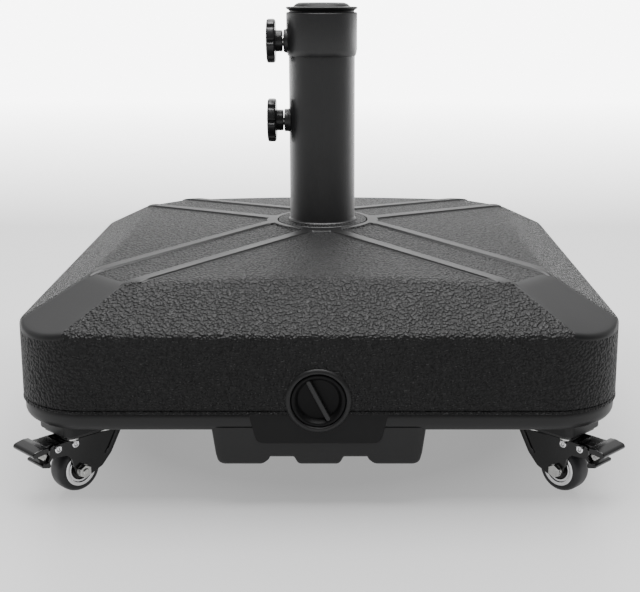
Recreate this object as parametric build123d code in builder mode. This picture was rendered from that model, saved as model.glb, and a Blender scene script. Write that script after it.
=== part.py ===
"""Square fillable parasol base on four braked swivel castors.

Millimetres, +Z up. The origin is on the floor under the middle of the tank, the filler cap
faces -Y and the two clamp knobs stand out of the tube towards -X.
"""
from build123d import *
from math import atan, cos, radians, sin, sqrt
import os

os.makedirs("parts", exist_ok=True)

# ---------------------------------------------------------------- driving dimensions
# Heights are above the floor.
TANK_HALF = 250.0  # half of the tank's width at the parting line
TANK_CORNER_R = 62.0
WALL = 3.5  # moulded wall thickness
SEAM_Z = 82.2  # parting line between the two tank shells
WALL_TOP_Z = 147.4
WALL_TOP_HALF = 249.3
WALL_DRAFT = 0.6  # degrees

SLOPE_TAN = 0.547  # rise over run of the roof's four large slopes
FACET_TAN = 0.427  # and of its four corner facets
FACET_REACH = 320.0  # distance of a facet from the middle at the height of the wall's top

RING_TOP_Z = 192.7
RING_R = 54.8
SEAT_R = 44.0  # round seat of the tube's flange
SEAT_BOSS_R = 50.0
SEAT_BOSS_Z = 178.0
PLATEAU_FALL = 0.0695  # fall of the plateau per unit of distance from the seat
PLATEAU_REACH = 420.0
RIB_RAISE = 1.8
RIB_OFFSET = 27.3  # ribs run in pairs, this far to either side of each diagonal
RIB_WIDTH = 10.3
RIB_LENGTH = 620.0

RIM_HALF = 248.5
RIM_CORNER_R = 60.5
RIM_BOTTOM_Z = 66.4
RIM_ROUND = 8.0

KEEL_TOP_HALF = 87.5
KEEL_BOTTOM_HALF = 82.5
KEEL_BOTTOM_Z = 37.4
KEEL_ROUND = 9.0
KEEL_FACE = 248.0
KEEL_DEPTH = 60.0
KEEL_SKIN = 11.0
NOTCH_MIDDLE = 31.0
NOTCH_WIDTH = 20.5
NOTCH_TOP_Z = 43.7
KEEL_POCKET_Z = 47.5

APRON_TOP_HALF = 56.0
APRON_BOTTOM_HALF = 50.0
APRON_BOTTOM_Z = 57.2
APRON_FACE_Y = -249.0
APRON_BACK_Y = -238.0

# where the moulded tank is divided into panels
HIP_TURNS = (39.0, 51.0, 129.0, 141.0)  # hips between the slopes and the corner facets
WEDGE_TURNS = (0.0, 45.0, 90.0, 135.0)  # the round parts, into eighths
NECK_TURNS = range(0, 180, 15)  # the neck, finely, because the cap's plug fits it closely
CROWN_HALF = 188.0
WALL_CUT_Z = 143.0
MOUTH_PANEL_HALF = 30.0
MOUTH_PANEL_DEPTH = 50.0

FILLER_Z = 94.0
FILLER_FACE_Y = -251.3
FILLER_BOSS_R = 26.0
FILLER_MOUTH_R = 22.4
FILLER_MOUTH_Y = -241.8
NECK_R = 19.2
NECK_WALL = 3.3
NECK_END_Y = -216.0
CAP_R = 22.0
CAP_RIM_R = 20.0
CAP_DISH_TAPER = 35.0
CAP_FACE_Y = -250.6
CAP_BACK_Y = -243.6
CAP_FLOOR_Y = -245.6
CAP_BAR_LENGTH = 36.0
CAP_BAR_WIDTH = 3.9
CAP_BAR_LEAN = 117.0  # degrees from +X, seen from the front
PLUG_R = 18.9
PLUG_END_Y = -231.0
PLUG_BORE_R = 15.5
GASKET = 1.5

TUBE_R = 31.4
TUBE_WALL = 2.0
TUBE_FOOT_Z = 62.0
TUBE_TOP_Z = 389.8
FLANGE_R = 43.0
FLANGE = 4.0
COLLAR_R = 33.5
COLLAR_BORE_R = 31.45
COLLAR_BOTTOM_Z = 349.9
COLLAR_CONE = 5.2
COLLAR_LIP = 1.2
SOCKET_R = 36.5
SOCKET_BORE_R = 31.7
SOCKET_FOOT_R = 42.0
SOCKET_FOOT_Z = 55.0
ANCHOR = 8.0
ANCHOR_R = 29.35
TIE_BOLT_R = 5.0
TIE_BOLT_FLATS = 17.0
TIE_BOLT_HEAD = 7.0
TIE_HOLE_R = 5.5
TIE_WASHER_R = 22.0
TIE_WASHER = 3.0

REDUCER_BORE_R = 19.25  # takes a 38 mm pole
REDUCER_SLEEVE_R = 29.1
REDUCER_BOTTOM_Z = 371.0
REDUCER_SEAT_R = 30.8
REDUCER_FLANGE_R = 33.7
REDUCER_DOME_R = 26.5
REDUCER_TOP_Z = 398.4

KNOB_HEIGHTS = {"upper": 363.3, "lower": 288.9}
KNOB_ROOTS = {"upper": 33.5, "lower": 31.4}  # radius of the surface each boss stands on
KNOB_R = 20.6
KNOB_FACE_X = -52.0
KNOB_BACK_X = -43.7
KNOB_LOBES = 8
KNOB_NOTCH_R = 3.2
KNOB_HUB_R = 10.0
KNOB_HUB_X = -37.7
BOSS_R = 10.7
BOSS_X = -36.0
BOSS_BORE_R = 5.05
STUD_R = 5.0
STUD_TIP_X = -22.5
STUD_END_X = -47.5
STUD_HOLE_R = 5.6

# Castors, each in its own frame: swivel axis at the origin, +X the way the wheel trails.
CASTOR_REACH = 266.0  # distance of the swivel axis from the middle, on a diagonal
CORNERS = {"front_left": 225.0, "front_right": 315.0, "back_right": 45.0, "back_left": 135.0}
WHEEL_R = 20.0
TRAIL = 27.5
TYRE_HALF = 9.0
HUB_R = 13.4
HUB_HALF = 8.2
HUB_BOSS_R = 6.0
HUB_BOSS_HALF = 9.7
RING_INNER_R = 10.6
RING_HALF = 9.2
AXLE_R = 3.0
AXLE_BORE_R = 3.05
FORK_HALF = 12.2
FORK_SHEET = 2.0
FORK_TOP_Z = 49.6
FORK_CROWN = 2.2
FORK_CROWN_START = -12.3
FORK_CROWN_END = 17.0
FORK_SIDE = [
    (-12.3, 49.6), (-12.3, 46.0), (-9.6, 41.5), (-1.5, 28.0), (8.0, 18.5), (19.0, 14.2), (29.0, 13.4),
    (33.8, 17.5), (37.0, 31.5), (41.0, 37.0), (56.0, 38.4), (58.0, 42.0), (57.4, 47.0), (53.0, 49.6),
]
FORK_NOSE = [
    (-12.3, 48.0), (-12.3, 46.0), (-9.6, 41.5), (-1.5, 28.0), (1.0, 25.4), (2.7, 26.8),
    (0.3, 29.2), (-7.8, 42.4), (-10.1, 46.5), (-10.1, 48.0),
]
RACE_R = 15.6
RACE_BOTTOM_Z = 49.9
PLATE_BOTTOM_Z = 53.2
PLATE_TOP_Z = 55.7
PLATE_LENGTH = 88.0
PLATE_WIDTH = 40.0
PAD_LENGTH = 94.0
PAD_WIDTH = 46.0
PAD_CORNER_R = 6.0
KINGPIN_R = 4.0
KINGPIN_BORE_R = 4.05
KINGPIN_TOP_Z = 55.4
KINGPIN_HEAD_R = 7.0
KINGPIN_HEAD = 2.8
SCREW_X = 36.0
SCREW_Y = 13.0
SCREW_R = 3.0
SCREW_HEAD_R = 5.0
SCREW_HEAD = 2.3
SCREW_TOP_Z = 64.0
PIVOT_Z = 45.5
SHOE_PIVOT_X = 33.5
PEDAL_PIVOT_X = 50.0
RIVET_R = 2.3
RIVET_BORE_R = 2.35
RIVET_HEAD_R = 3.3
RIVET_HEAD = 1.7
BOLT_FLATS = 10.0
BOLT_HEAD = 4.0
AXLE_NUT = 5.0
PEDAL_NECK_HALF = 9.8
PEDAL_PAD_HALF = 16.0
PEDAL_LIP_HALF = 12.0
PEDAL_SIDE = [
    (45.0, 42.0), (44.5, 48.6), (47.0, 50.2), (61.0, 50.8), (61.0, 46.4), (57.5, 44.5), (56.0, 39.0),
    (60.0, 35.5), (58.0, 33.0), (54.0, 37.0), (50.0, 40.6),
]
PEDAL_PAD = [(60.5, 50.8), (66.0, 51.0), (73.5, 49.2), (75.2, 47.5), (74.4, 44.8), (71.0, 45.2), (60.5, 46.4)]
PEDAL_LIP = [(57.4, 35.2), (56.8, 32.2), (58.4, 30.8), (65.4, 33.0), (65.0, 35.6), (59.0, 36.6)]
SHOE_HALF = 8.0
SHOE_BARREL_R = 3.9
SHOE_PAD_ARC = (76.0, 108.0)  # degrees around the wheel
SHOE_GAP = 0.3


def save_panels(panels, name):
    """Write solids that stay apart as one node's STEP file."""
    node = Compound(panels)
    node.label = name
    export_step(node, f"parts/{name}.step")


def upright_planes(turns):
    """Planes through the pole's axis, turned around it."""
    return [Plane((0, 0, 0), z_dir=(-sin(radians(turn)), cos(radians(turn)), 0)) for turn in turns]


def mouth_planes(turns):
    """Planes through the filler's axis, turned around it."""
    middle = (0, FILLER_FACE_Y, FILLER_Z)
    return [Plane(middle, z_dir=(-sin(radians(turn)), 0, cos(radians(turn)))) for turn in turns]


def save(builder, name):
    """Label a finished piece and write its STEP file."""
    builder.part.label = name
    export_step(builder.part, f"parts/{name}.step")


def roof_outline(z, inset):
    """Corners of the eight-sided roof at height z, for planes moved in by inset."""
    slope_z = z + inset / cos(atan(SLOPE_TAN))
    facet_z = z + inset / cos(atan(FACET_TAN))
    half = WALL_TOP_HALF - (slope_z - WALL_TOP_Z) / SLOPE_TAN
    reach = FACET_REACH - (facet_z - WALL_TOP_Z) / FACET_TAN
    short = reach * sqrt(2) - half
    ends = [(half, short), (short, half), (-short, half), (-half, short)]
    return ends + [(-x, -y) for x, y in ends]


def hip_roof(inset):
    """Solid under the roof's eight planes, moved in by inset."""
    with BuildPart() as roof:
        for z in (SEAM_Z - 20, RING_TOP_Z + 15):
            with BuildSketch(Plane.XY.offset(z)):
                Polygon(*roof_outline(z, inset), align=None)
        loft(ruled=True)
    return roof.part


def plateau(top):
    """Solid under the plateau's shallow cone, whose middle is at height top."""
    with BuildPart() as cone:
        with BuildSketch(Plane.XZ):
            with BuildLine():
                edge = top - PLATEAU_FALL * (PLATEAU_REACH - SEAT_R)
                Polyline((0, SEAM_Z - 10), (PLATEAU_REACH, SEAM_Z - 10), (PLATEAU_REACH, edge), (SEAT_R, top),
                         (0, top), close=True)
            make_face()
        revolve(axis=Axis.Z)
    return cone.part


def turned(profile):
    """Solid turned around the Z axis from (radius, height) points."""
    with BuildPart() as solid:
        with BuildSketch(Plane.XZ):
            with BuildLine():
                Polyline(*profile, close=True)
            make_face()
        revolve(axis=Axis.Z)
    return solid.part


def across(points, half):
    """Solid across a castor, from (x, z) points, reaching half to either side."""
    with BuildPart() as solid:
        with BuildSketch(Plane.XZ):
            with BuildLine():
                Polyline(*points, close=True)
            make_face()
        extrude(amount=half, both=True)
    return solid.part


def castor_places():
    """Placements of the four castors, by corner name."""
    places = {}
    for corner, angle in CORNERS.items():
        x = CASTOR_REACH * cos(radians(angle))
        y = CASTOR_REACH * sin(radians(angle))
        places[corner] = Location((x, y, 0), (0, 0, angle))
    return places


# ---------------------------------------------------------------- tank, upper shell
outer_roof = hip_roof(0.0)
inner_roof = hip_roof(WALL)
panel_cone = plateau(RING_TOP_Z - RIB_RAISE)
rib_cone = plateau(RING_TOP_Z)
inner_cone = plateau(RING_TOP_Z - RIB_RAISE - WALL)

with BuildPart() as ribs:
    with BuildSketch(Plane.XY.offset(SEAM_Z)):
        Circle(RING_R)
        for turn in (45, 135):
            for side in (-1, 1):
                x = -side * RIB_OFFSET * sin(radians(turn))
                y = side * RIB_OFFSET * cos(radians(turn))
                with Locations((x, y)):
                    Rectangle(RIB_LENGTH, RIB_WIDTH, rotation=turn)
    extrude(amount=RING_TOP_Z + 5 - SEAM_Z)
    add(outer_roof, mode=Mode.INTERSECT)
    add(rib_cone, mode=Mode.INTERSECT)

with BuildPart() as upper_cavity:
    with BuildSketch(Plane.XY.offset(SEAM_Z - 5)):
        RectangleRounded(2 * (TANK_HALF - WALL), 2 * (TANK_HALF - WALL), TANK_CORNER_R - WALL)
    extrude(amount=RING_TOP_Z + 5 - SEAM_Z, taper=WALL_DRAFT)
    add(inner_roof, mode=Mode.INTERSECT)
    add(inner_cone, mode=Mode.INTERSECT)
    with BuildSketch(Plane.XY.offset(SEAT_BOSS_Z)):
        Circle(SEAT_BOSS_R)
    extrude(amount=30, mode=Mode.SUBTRACT)

with BuildPart() as apron:
    with BuildSketch(Plane.XZ.offset(-APRON_BACK_Y)):
        with BuildLine():
            Polyline((-APRON_TOP_HALF, SEAM_Z), (-APRON_BOTTOM_HALF, APRON_BOTTOM_Z),
                     (APRON_BOTTOM_HALF, APRON_BOTTOM_Z), (APRON_TOP_HALF, SEAM_Z), close=True)
        make_face()
    extrude(amount=APRON_BACK_Y - APRON_FACE_Y)

with BuildPart() as tank_upper:
    with BuildSketch(Plane.XY.offset(SEAM_Z)):
        RectangleRounded(2 * TANK_HALF, 2 * TANK_HALF, TANK_CORNER_R)
    extrude(amount=RING_TOP_Z + 5 - SEAM_Z, taper=WALL_DRAFT)
    add(outer_roof, mode=Mode.INTERSECT)
    add(panel_cone, mode=Mode.INTERSECT)
    add(ribs.part)
    add(upper_cavity.part, mode=Mode.SUBTRACT)
    add(apron.part)
    # hole for the filler spout
    with BuildSketch(Plane.XZ.offset(-APRON_BACK_Y)):
        with Locations((0, FILLER_Z)):
            Circle(FILLER_BOSS_R)
    extrude(amount=APRON_BACK_Y - FILLER_FACE_Y, mode=Mode.SUBTRACT)
    # seat of the tube's flange and hole for the socket
    with BuildSketch(Plane.XY.offset(RING_TOP_Z - FLANGE)):
        Circle(SEAT_R)
    extrude(amount=FLANGE + 5, mode=Mode.SUBTRACT)
    with BuildSketch(Plane.XY.offset(SEAM_Z - 5)):
        Circle(SOCKET_R)
    extrude(amount=RING_TOP_Z + 10 - SEAM_Z, mode=Mode.SUBTRACT)

# its panels, divided along the creases: the crown, the slopes with the corner facets, and the walls
with BuildPart() as crown_panels:
    add(tank_upper.part)
    with BuildSketch(Plane.XY.offset(WALL_CUT_Z)):
        Rectangle(2 * CROWN_HALF, 2 * CROWN_HALF)
    extrude(amount=RING_TOP_Z, mode=Mode.INTERSECT)
    for plane in upright_planes(HIP_TURNS):
        split(bisect_by=plane, keep=Keep.BOTH)

with BuildPart() as slope_panels:
    add(tank_upper.part)
    with BuildSketch(Plane.XY.offset(WALL_CUT_Z)):
        Rectangle(2 * CROWN_HALF, 2 * CROWN_HALF)
    extrude(amount=RING_TOP_Z, mode=Mode.SUBTRACT)
    split(bisect_by=Plane.XY.offset(WALL_CUT_Z), keep=Keep.TOP)
    for plane in upright_planes(HIP_TURNS):
        split(bisect_by=plane, keep=Keep.BOTH)

with BuildPart() as side_walls:
    add(tank_upper.part)
    split(bisect_by=Plane.XY.offset(WALL_CUT_Z), keep=Keep.BOTTOM)
    with BuildSketch(Plane.XZ.offset(TANK_HALF)):
        with Locations((0, FILLER_Z)):
            Rectangle(2 * MOUTH_PANEL_HALF, 2 * WALL_CUT_Z)
    extrude(amount=-MOUTH_PANEL_DEPTH, mode=Mode.SUBTRACT)
    for plane in upright_planes(HIP_TURNS):
        split(bisect_by=plane, keep=Keep.BOTH)

# the wall around the filler's mouth, in wedges
with BuildPart() as mouth_wall:
    add(tank_upper.part)
    split(bisect_by=Plane.XY.offset(WALL_CUT_Z), keep=Keep.BOTTOM)
    with BuildSketch(Plane.XZ.offset(TANK_HALF)):
        with Locations((0, FILLER_Z)):
            Rectangle(2 * MOUTH_PANEL_HALF, 2 * WALL_CUT_Z)
    extrude(amount=-MOUTH_PANEL_DEPTH, mode=Mode.INTERSECT)
    for plane in mouth_planes(WEDGE_TURNS):
        split(bisect_by=plane, keep=Keep.BOTH)

upper_panels = [crown_panels, slope_panels, side_walls, mouth_wall]
save_panels([panel for group in upper_panels for panel in group.solids()], "tank_upper")

# boss around the filler's mouth, with the neck behind it
with BuildPart() as filler_spout:
    with BuildSketch(Plane.XZ.offset(-APRON_BACK_Y)):
        with Locations((0, FILLER_Z)):
            Circle(FILLER_BOSS_R)
            Circle(NECK_R, mode=Mode.SUBTRACT)
    extrude(amount=APRON_BACK_Y - FILLER_FACE_Y)
    with BuildSketch(Plane.XZ.offset(-APRON_BACK_Y)):
        with Locations((0, FILLER_Z)):
            Circle(NECK_R + NECK_WALL)
            Circle(NECK_R, mode=Mode.SUBTRACT)
    extrude(amount=APRON_BACK_Y - NECK_END_Y)
    with BuildSketch(Plane.XZ.offset(-FILLER_MOUTH_Y)):
        with Locations((0, FILLER_Z)):
            Circle(FILLER_MOUTH_R)
    extrude(amount=FILLER_MOUTH_Y - FILLER_FACE_Y, mode=Mode.SUBTRACT)
    split(bisect_by=Plane.XZ.offset(-FILLER_MOUTH_Y), keep=Keep.BOTH)
    for plane in mouth_planes(NECK_TURNS):
        split(bisect_by=plane, keep=Keep.BOTH)
save(filler_spout, "filler_spout")

# socket that holds the tube in the middle of the tank
with BuildPart() as tube_socket:
    with BuildSketch(Plane.XY.offset(SOCKET_FOOT_Z)):
        Circle(SOCKET_FOOT_R)
    extrude(amount=RIM_BOTTOM_Z - SOCKET_FOOT_Z)
    with BuildSketch(Plane.XY.offset(RIM_BOTTOM_Z)):
        Circle(SOCKET_R)
    extrude(amount=RING_TOP_Z - FLANGE - RIM_BOTTOM_Z)
    with BuildSketch(Plane.XY.offset(TUBE_FOOT_Z)):
        Circle(SOCKET_BORE_R)
    extrude(amount=RING_TOP_Z, mode=Mode.SUBTRACT)
    with BuildSketch(Plane.XY.offset(SOCKET_FOOT_Z)):
        Circle(TIE_HOLE_R)
    extrude(amount=TUBE_FOOT_Z - SOCKET_FOOT_Z, mode=Mode.SUBTRACT)
    for height in (TUBE_FOOT_Z, RIM_BOTTOM_Z):
        split(bisect_by=Plane.XY.offset(height), keep=Keep.BOTH)
    for plane in upright_planes(WEDGE_TURNS):
        split(bisect_by=plane, keep=Keep.BOTH)
save(tube_socket, "tube_socket")

# ---------------------------------------------------------------- tank, lower shell
with BuildPart() as keel:
    with BuildSketch(Plane.XZ.offset(KEEL_FACE - KEEL_DEPTH)):
        with BuildLine():
            Polyline((-KEEL_TOP_HALF, RIM_BOTTOM_Z + 3), (-KEEL_BOTTOM_HALF, KEEL_BOTTOM_Z + 6),
                     (KEEL_BOTTOM_HALF, KEEL_BOTTOM_Z + 6), (KEEL_TOP_HALF, RIM_BOTTOM_Z + 3), close=True)
        make_face()
        with Locations((0, KEEL_BOTTOM_Z + 6)):
            RectangleRounded(2 * KEEL_BOTTOM_HALF, 12, 5.9)
        for side in (-1, 1):
            with Locations((side * NOTCH_MIDDLE, NOTCH_TOP_Z - 10)):
                Rectangle(NOTCH_WIDTH, 20, mode=Mode.SUBTRACT)
    extrude(amount=KEEL_DEPTH)

with BuildPart() as underbody:
    with BuildSketch(Plane.XY.offset(RIM_BOTTOM_Z)):
        RectangleRounded(2 * RIM_HALF, 2 * RIM_HALF, RIM_CORNER_R)
    extrude(amount=SEAM_Z - RIM_BOTTOM_Z)
    fillet(underbody.faces().sort_by(Axis.Z)[0].edges(), RIM_ROUND)
    for turn in (0, 90, 180, 270):
        add(keel.part.rotate(Axis.Z, turn))
    for place in castor_places().values():
        with BuildSketch(Plane.XY.offset(PLATE_TOP_Z)):
            with Locations(place):
                RectangleRounded(PAD_LENGTH, PAD_WIDTH, PAD_CORNER_R)
        extrude(amount=RIM_BOTTOM_Z + 2 - PLATE_TOP_Z)
    # inside of the pan and of the keels
    with BuildSketch(Plane.XY.offset(RIM_BOTTOM_Z + WALL)):
        RectangleRounded(2 * (RIM_HALF - WALL), 2 * (RIM_HALF - WALL), RIM_CORNER_R - WALL)
    extrude(amount=SEAM_Z, mode=Mode.SUBTRACT)
    for turn in (0, 90, 180, 270):
        with BuildSketch(Plane.XY.offset(KEEL_POCKET_Z)):
            with Locations(Location((0, 0), turn)):
                with Locations((0, KEEL_SKIN / 2 + WALL / 2 + KEEL_DEPTH / 2 - KEEL_FACE - WALL)):
                    Rectangle(2 * (KEEL_BOTTOM_HALF - WALL), KEEL_DEPTH - KEEL_SKIN - WALL)
        extrude(amount=RIM_BOTTOM_Z + WALL - KEEL_POCKET_Z, mode=Mode.SUBTRACT)
    add(apron.part, mode=Mode.SUBTRACT)
    with BuildSketch(Plane.XY.offset(RIM_BOTTOM_Z)):
        Circle(SOCKET_R)
    extrude(amount=WALL, mode=Mode.SUBTRACT)
    with BuildSketch(Plane.XY.offset(SOCKET_FOOT_Z)):
        for place in castor_places().values():
            with Locations(place):
                with GridLocations(2 * SCREW_X, 2 * SCREW_Y, 2, 2):
                    Circle(SCREW_R)
    extrude(amount=SCREW_TOP_Z - SOCKET_FOOT_Z, mode=Mode.SUBTRACT)

with BuildPart() as tank_lower:
    add(underbody.part)
    split(bisect_by=Plane.XY.offset(RIM_BOTTOM_Z), keep=Keep.TOP)
    split(bisect_by=Plane.XY.offset(RIM_BOTTOM_Z + WALL), keep=Keep.BOTH)
    for plane in upright_planes(HIP_TURNS):
        split(bisect_by=plane, keep=Keep.BOTH)
save(tank_lower, "tank_lower")

# the keels and the castor pads, below the pan
with BuildPart() as tank_keels:
    add(underbody.part)
    split(bisect_by=Plane.XY.offset(RIM_BOTTOM_Z), keep=Keep.BOTTOM)
save(tank_keels, "tank_keels")

# ---------------------------------------------------------------- stand tube
with BuildPart() as stand_tube:
    with BuildSketch(Plane.XY.offset(TUBE_FOOT_Z)):
        Circle(TUBE_R)
    extrude(amount=TUBE_TOP_Z - TUBE_FOOT_Z)
    with BuildSketch(Plane.XY.offset(TUBE_FOOT_Z)):
        Circle(TUBE_R - TUBE_WALL)
    extrude(amount=TUBE_TOP_Z, mode=Mode.SUBTRACT)
    for height in KNOB_HEIGHTS.values():
        with BuildSketch(Plane.YZ):
            with Locations((0, height)):
                Circle(STUD_HOLE_R)
        extrude(amount=-2 * TUBE_R, mode=Mode.SUBTRACT)
save(stand_tube, "stand_tube")

# flange welded around the tube, in the seat on top of the tank
with BuildPart() as tube_flange:
    with BuildSketch(Plane.XY.offset(RING_TOP_Z - FLANGE)):
        Circle(FLANGE_R)
        Circle(TUBE_R, mode=Mode.SUBTRACT)
    extrude(amount=FLANGE)
save(tube_flange, "tube_flange")

with BuildPart() as tube_collar:
    add(turned([
        (COLLAR_BORE_R, COLLAR_BOTTOM_Z), (COLLAR_BORE_R + 0.3, COLLAR_BOTTOM_Z),
        (COLLAR_R, COLLAR_BOTTOM_Z + COLLAR_CONE), (COLLAR_R, TUBE_TOP_Z - COLLAR_LIP),
        (COLLAR_R - COLLAR_LIP, TUBE_TOP_Z), (COLLAR_BORE_R, TUBE_TOP_Z),
    ]))
    with BuildSketch(Plane.YZ):
        with Locations((0, KNOB_HEIGHTS["upper"])):
            Circle(STUD_HOLE_R)
    extrude(amount=-2 * TUBE_R, mode=Mode.SUBTRACT)
save(tube_collar, "tube_collar")

with BuildPart() as knob_bosses:
    for name, height in KNOB_HEIGHTS.items():
        with BuildSketch(Plane.YZ.offset(BOSS_X)):
            with Locations((0, height)):
                Circle(BOSS_R)
                Circle(BOSS_BORE_R, mode=Mode.SUBTRACT)
        extrude(amount=-BOSS_X - 26)
        with BuildSketch(Plane.XY.offset(height - BOSS_R - 1)):
            Circle(KNOB_ROOTS[name] + 0.02)
        extrude(amount=2 * BOSS_R + 2, mode=Mode.SUBTRACT)
save(knob_bosses, "knob_bosses")

with BuildPart() as tube_anchor:
    with BuildSketch(Plane.XY.offset(TUBE_FOOT_Z)):
        Circle(ANCHOR_R)
        Circle(TIE_BOLT_R, mode=Mode.SUBTRACT)
    extrude(amount=ANCHOR)
save(tube_anchor, "tube_anchor")

with BuildPart() as tie_washer:
    with BuildSketch(Plane.XY.offset(SOCKET_FOOT_Z - TIE_WASHER)):
        Circle(TIE_WASHER_R)
        Circle(TIE_HOLE_R, mode=Mode.SUBTRACT)
    extrude(amount=TIE_WASHER)
save(tie_washer, "tie_washer")

with BuildPart() as tie_bolt:
    with BuildSketch(Plane.XY.offset(SOCKET_FOOT_Z - TIE_WASHER - TIE_BOLT_HEAD)):
        RegularPolygon(TIE_BOLT_FLATS / 2, 6, major_radius=False)
    extrude(amount=TIE_BOLT_HEAD)
    with BuildSketch(Plane.XY.offset(SOCKET_FOOT_Z - TIE_WASHER)):
        Circle(TIE_BOLT_R)
    extrude(amount=TUBE_FOOT_Z + ANCHOR + 4 - SOCKET_FOOT_Z + TIE_WASHER)
save(tie_bolt, "tie_bolt")

# ---------------------------------------------------------------- pole reducer
with BuildPart() as pole_reducer:
    add(turned([
        (REDUCER_BORE_R, REDUCER_BOTTOM_Z), (REDUCER_SLEEVE_R - 0.8, REDUCER_BOTTOM_Z),
        (REDUCER_SLEEVE_R, REDUCER_BOTTOM_Z + 2), (REDUCER_SLEEVE_R, TUBE_TOP_Z + 0.3),
        (REDUCER_SEAT_R, TUBE_TOP_Z + 0.3), (REDUCER_SEAT_R, TUBE_TOP_Z + 1.5),
        (REDUCER_FLANGE_R, TUBE_TOP_Z + 3.2), (REDUCER_FLANGE_R, TUBE_TOP_Z + 4.7),
        (REDUCER_DOME_R, TUBE_TOP_Z + 5.4), (REDUCER_DOME_R - 3.0, REDUCER_TOP_Z - 0.6),
        (REDUCER_DOME_R - 5.5, REDUCER_TOP_Z), (REDUCER_BORE_R, REDUCER_TOP_Z),
    ]))
save(pole_reducer, "pole_reducer")

# ---------------------------------------------------------------- filler cap
with BuildPart() as cap_dish:
    with BuildSketch(Plane.XZ.offset(-CAP_FACE_Y)):
        with Locations((0, FILLER_Z)):
            Circle(CAP_RIM_R)
    extrude(amount=CAP_FACE_Y - CAP_FLOOR_Y, taper=CAP_DISH_TAPER)

# floor of the cap, with the plug behind it
with BuildPart() as filler_cap:
    with BuildSketch(Plane.XZ.offset(-CAP_BACK_Y)):
        with Locations((0, FILLER_Z)):
            Circle(CAP_R)
    extrude(amount=CAP_BACK_Y - CAP_FLOOR_Y)
    with BuildSketch(Plane.XZ.offset(-CAP_BACK_Y)):
        with Locations((0, FILLER_Z)):
            Circle(PLUG_R)
            Circle(PLUG_BORE_R, mode=Mode.SUBTRACT)
    extrude(amount=CAP_BACK_Y - PLUG_END_Y)
    split(bisect_by=Plane.XZ.offset(-CAP_BACK_Y), keep=Keep.BOTH)
save(filler_cap, "filler_cap")

with BuildPart() as cap_rim:
    with BuildSketch(Plane.XZ.offset(-CAP_FLOOR_Y)):
        with Locations((0, FILLER_Z)):
            Circle(CAP_R)
    extrude(amount=CAP_FLOOR_Y - CAP_FACE_Y)
    add(cap_dish.part, mode=Mode.SUBTRACT)
save(cap_rim, "cap_rim")

# bar across the dish, to turn the cap by
with BuildPart() as cap_bar:
    with BuildSketch(Plane.XZ.offset(-CAP_FLOOR_Y)):
        with Locations((0, FILLER_Z)):
            SlotOverall(CAP_BAR_LENGTH, CAP_BAR_WIDTH, rotation=CAP_BAR_LEAN)
    extrude(amount=CAP_FLOOR_Y - CAP_FACE_Y)
    add(cap_dish.part, mode=Mode.INTERSECT)
save(cap_bar, "cap_bar")

with BuildPart() as filler_gasket:
    with BuildSketch(Plane.XZ.offset(-CAP_BACK_Y - 0.02)):
        with Locations((0, FILLER_Z)):
            Circle(CAP_R - 0.4)
            Circle(PLUG_R + 0.02, mode=Mode.SUBTRACT)
    extrude(amount=CAP_BACK_Y - FILLER_MOUTH_Y + 0.3)
save(filler_gasket, "filler_gasket")

# ---------------------------------------------------------------- clamp knobs
for name, height in KNOB_HEIGHTS.items():
    with BuildPart() as knob:
        with BuildSketch(Plane.YZ.offset(KNOB_FACE_X)):
            with Locations((0, height)):
                Circle(KNOB_R)
                with PolarLocations(KNOB_R + 0.9, KNOB_LOBES, start_angle=22.5):
                    Circle(KNOB_NOTCH_R, mode=Mode.SUBTRACT)
        extrude(amount=KNOB_BACK_X - KNOB_FACE_X)
        with BuildSketch(Plane.YZ.offset(KNOB_BACK_X)):
            with Locations((0, height)):
                Circle(KNOB_HUB_R)
        extrude(amount=KNOB_HUB_X - KNOB_BACK_X)
        with BuildSketch(Plane.YZ.offset(STUD_END_X)):
            with Locations((0, height)):
                Circle(STUD_R)
        extrude(amount=KNOB_HUB_X - STUD_END_X, mode=Mode.SUBTRACT)
    save(knob, f"knob_{name}")
    with BuildPart() as stud:
        with BuildSketch(Plane.YZ.offset(STUD_END_X)):
            with Locations((0, height)):
                Circle(STUD_R)
        extrude(amount=STUD_TIP_X - STUD_END_X)
    save(stud, f"stud_{name}")

# ---------------------------------------------------------------- castors
with BuildPart() as fork:
    for side in (-1, 1):
        with BuildSketch(Plane.XZ.offset(side * (FORK_HALF - FORK_SHEET / 2))):
            with BuildLine():
                Polyline(*FORK_SIDE, close=True)
            make_face()
            with Locations((TRAIL, WHEEL_R)):
                Circle(AXLE_BORE_R, mode=Mode.SUBTRACT)
            with Locations((SHOE_PIVOT_X, PIVOT_Z), (PEDAL_PIVOT_X, PIVOT_Z)):
                Circle(RIVET_BORE_R, mode=Mode.SUBTRACT)
        extrude(amount=FORK_SHEET / 2, both=True)
    add(across(FORK_NOSE, FORK_HALF - FORK_SHEET / 2))
    with BuildSketch(Plane.XY.offset(FORK_TOP_Z - FORK_CROWN)):
        with Locations(((FORK_CROWN_START + FORK_CROWN_END) / 2, 0)):
            Rectangle(FORK_CROWN_END - FORK_CROWN_START, 2 * FORK_HALF - FORK_SHEET)
    extrude(amount=FORK_CROWN)
    with BuildSketch(Plane.XY.offset(FORK_TOP_Z - FORK_CROWN)):
        Circle(KINGPIN_R)
    extrude(amount=FORK_CROWN, mode=Mode.SUBTRACT)

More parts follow.
